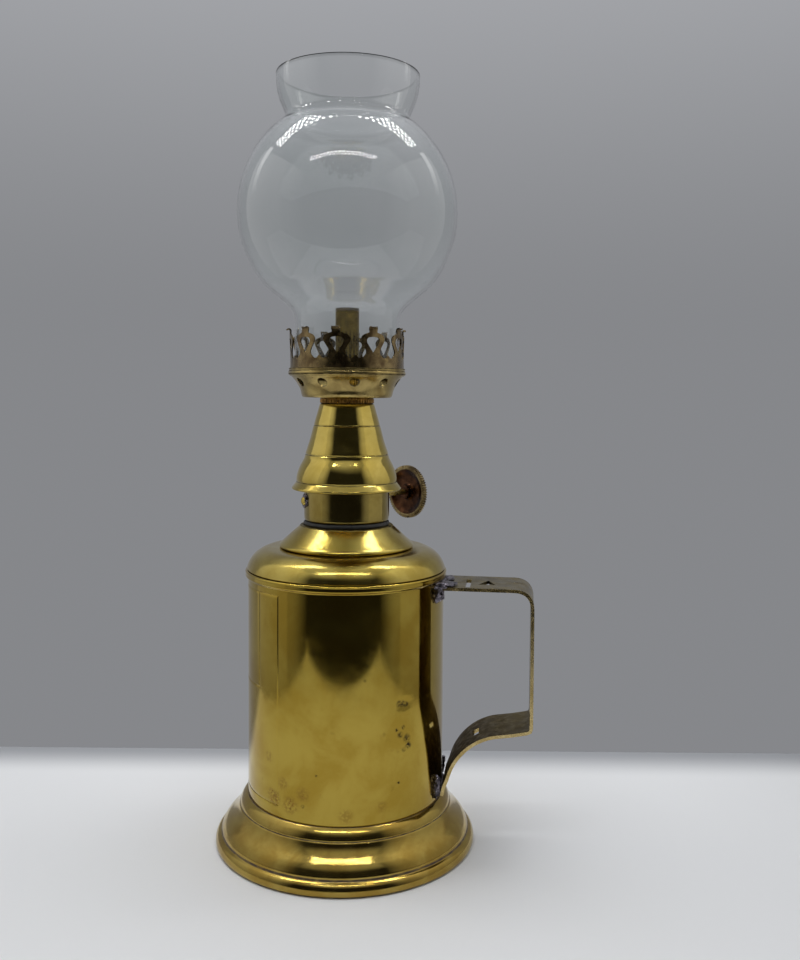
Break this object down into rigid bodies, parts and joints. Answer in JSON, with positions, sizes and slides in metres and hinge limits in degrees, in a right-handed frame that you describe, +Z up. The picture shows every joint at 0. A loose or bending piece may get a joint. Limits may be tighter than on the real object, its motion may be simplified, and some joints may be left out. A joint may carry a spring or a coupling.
{
  "type": "spirit hand lamp",
  "caption": "Brass hand lamp with a wadding-filled reservoir, strap handle, screw-in wick burner, lift-off stepped cone and globe glass chimney.",
  "frame": {"origin": "centre of the circle on which the foot stands, on the table", "axes": "+Z up along the lamp's axis, +X from the axis towards the strap handle, +Y by the right-hand rule"},
  "size_m": [0.0973, 0.08, 0.2296],
  "materials": {
    "brass": "polished, with tarnish",
    "foot_brass": "polished, warm, grime in the grooves",
    "dull_brass": "tarnished",
    "dark_brass": "dark tarnish",
    "ring_brass": "milled, orange-brown",
    "solder": "soft solder, dull grey",
    "wadding": "cotton wadding",
    "gauze": "perforated sheet",
    "gasket": "matt",
    "wick": "woven cotton",
    "glass": "clear, polished"
  },
  "bodies": {
    "lamp": {"foot_shell": "foot_brass", "foot_plate": "brass", "reservoir_tube": "brass", "reservoir_floor": "brass", "wadding": "wadding", "wadding_gauze": "gauze", "shoulder_dome": "brass", "neck_dome": "brass", "neck_socket": "brass", "handle_strap": "dull_brass", "upper_solder": "solder", "lower_solder": "solder"},
    "seal": {"neck_gasket": "gasket"},
    "burner": {"burner_plug": "brass", "burner_collar": "brass", "wick_tube": "brass", "spindle_bush": "brass", "stub_bush": "brass", "stub_solder": "solder"},
    "knob": {"spindle": "brass", "pinion": "brass", "wick_knob": "dark_brass", "knob_rivet": "brass"},
    "wick": {"wick_carrier": "brass", "wick_rack": "brass", "wick": "wick"},
    "cap": {"cone_cap": "brass", "cone_sleeve": "brass", "clamp_ring": "ring_brass", "gallery_tube": "brass", "gallery_dish": "brass", "gallery_crown": "dark_brass"},
    "glass": {"glass_chimney": "glass"}
  },
  "joints": [
    {"name": "burner_rise", "type": "slide", "parent": "lamp", "child": "seal", "axis": [0, 0, 1], "range_m": [0, 0.0061]},
    {"name": "burner_turn", "type": "hinge", "parent": "seal", "child": "burner", "pos_m": [0, 0, 0.1], "axis": [0, 0, 1], "range_deg": [0, 1440]},
    {"name": "knob_turn", "type": "hinge", "parent": "burner", "child": "knob", "pos_m": [-0.00439, 0.00368, 0.1053], "axis": [-0.6428, -0.766, 0], "range_deg": [-84, 226]},
    {"name": "wick_lift", "type": "slide", "parent": "burner", "child": "wick", "axis": [0, 0, 1], "range_m": [-0.003, 0.008]},
    {"name": "cap_lift", "type": "slide", "parent": "burner", "child": "cap", "axis": [0, 0, 1], "range_m": [0, 0.065]},
    {"name": "glass_lift", "type": "slide", "parent": "cap", "child": "glass", "axis": [0, 0, 1], "range_m": [0, 0.06]}
  ],
  "couplings": [
    {"joint": "burner_rise", "follows": "burner_turn", "m_per_rad": 0.00023873},
    {"joint": "wick_lift", "follows": "knob_turn", "m_per_rad": 0.002025}
  ]
}
